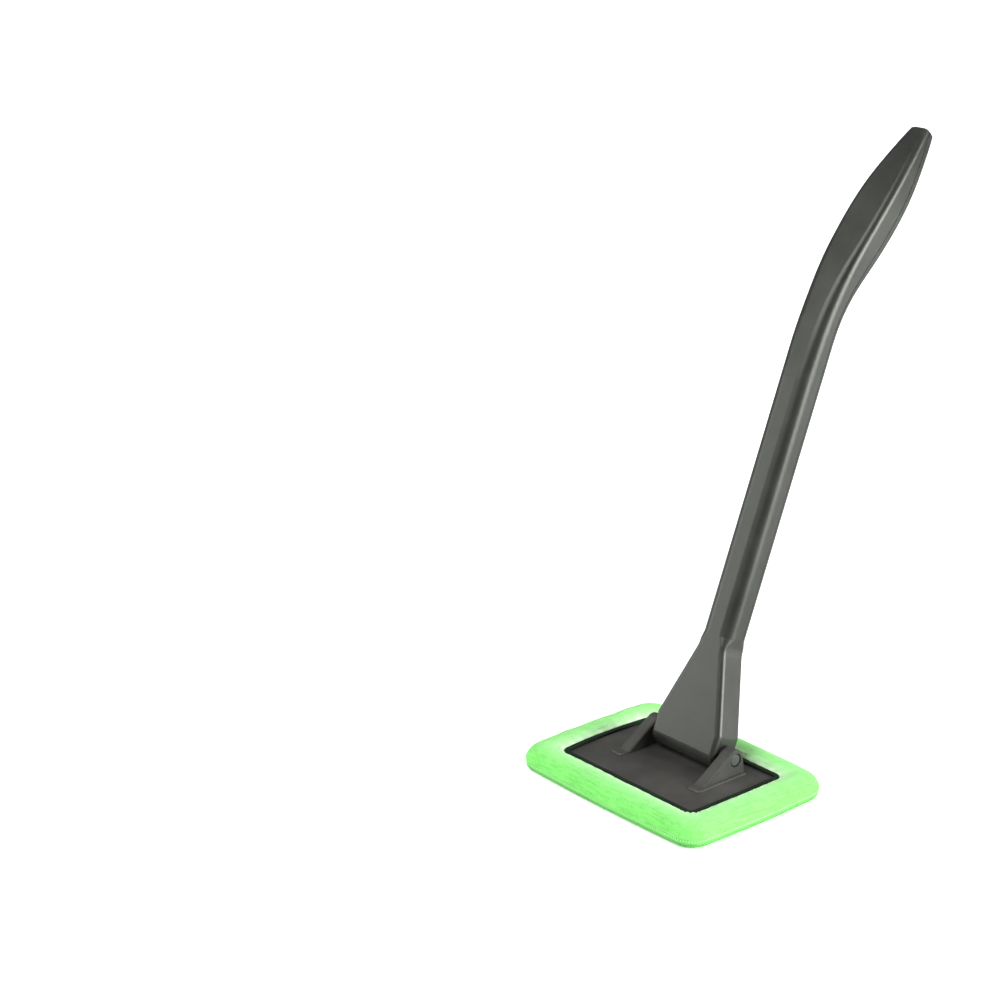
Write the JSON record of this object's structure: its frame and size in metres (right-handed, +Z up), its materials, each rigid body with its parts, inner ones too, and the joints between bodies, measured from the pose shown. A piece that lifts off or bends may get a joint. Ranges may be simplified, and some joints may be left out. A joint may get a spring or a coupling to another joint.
{
  "type": "window scrubber",
  "caption": "Window scrubber: microfibre bonnet over a padded plate, held by a friction pivot, flared yoke and long bent hollow handle.",
  "frame": {"origin": "centre of the bonnet's flat working face, where it rests on the glass", "axes": "+Z up from the glass, +X along the head's long side and the pivot, +Y the way the handle leans at rest"},
  "size_m": [0.138, 0.2351, 0.3356],
  "materials": {
    "microfibre_face": "matte",
    "microfibre_border": "matte",
    "elastic": "matte",
    "foam": "matte",
    "head_plastic": "satin",
    "yoke_plastic": "satin",
    "handle_plastic": "satin",
    "washer_rubber": "matte",
    "pin_steel": "satin",
    "screw_steel": "satin"
  },
  "bodies": {
    "head": {"bonnet_face": "microfibre_face", "bonnet_border": "microfibre_border", "hem_elastic": "elastic", "foam_pad": "foam", "head_plate": "head_plastic", "pivot_pin": "pin_steel", "pin_cap": "pin_steel", "friction_washer_right": "washer_rubber", "friction_washer_left": "washer_rubber"},
    "handle": {"yoke": "yoke_plastic", "neck_screw": "screw_steel", "handle_front_shell": "handle_plastic", "handle_rear_shell": "handle_plastic"}
  },
  "joints": [
    {"name": "head_pivot", "type": "hinge", "parent": "head", "child": "handle", "pos_m": [0, 0.0167, 0.019], "axis": [1, 0, 0], "range_deg": [-54, 104]}
  ]
}
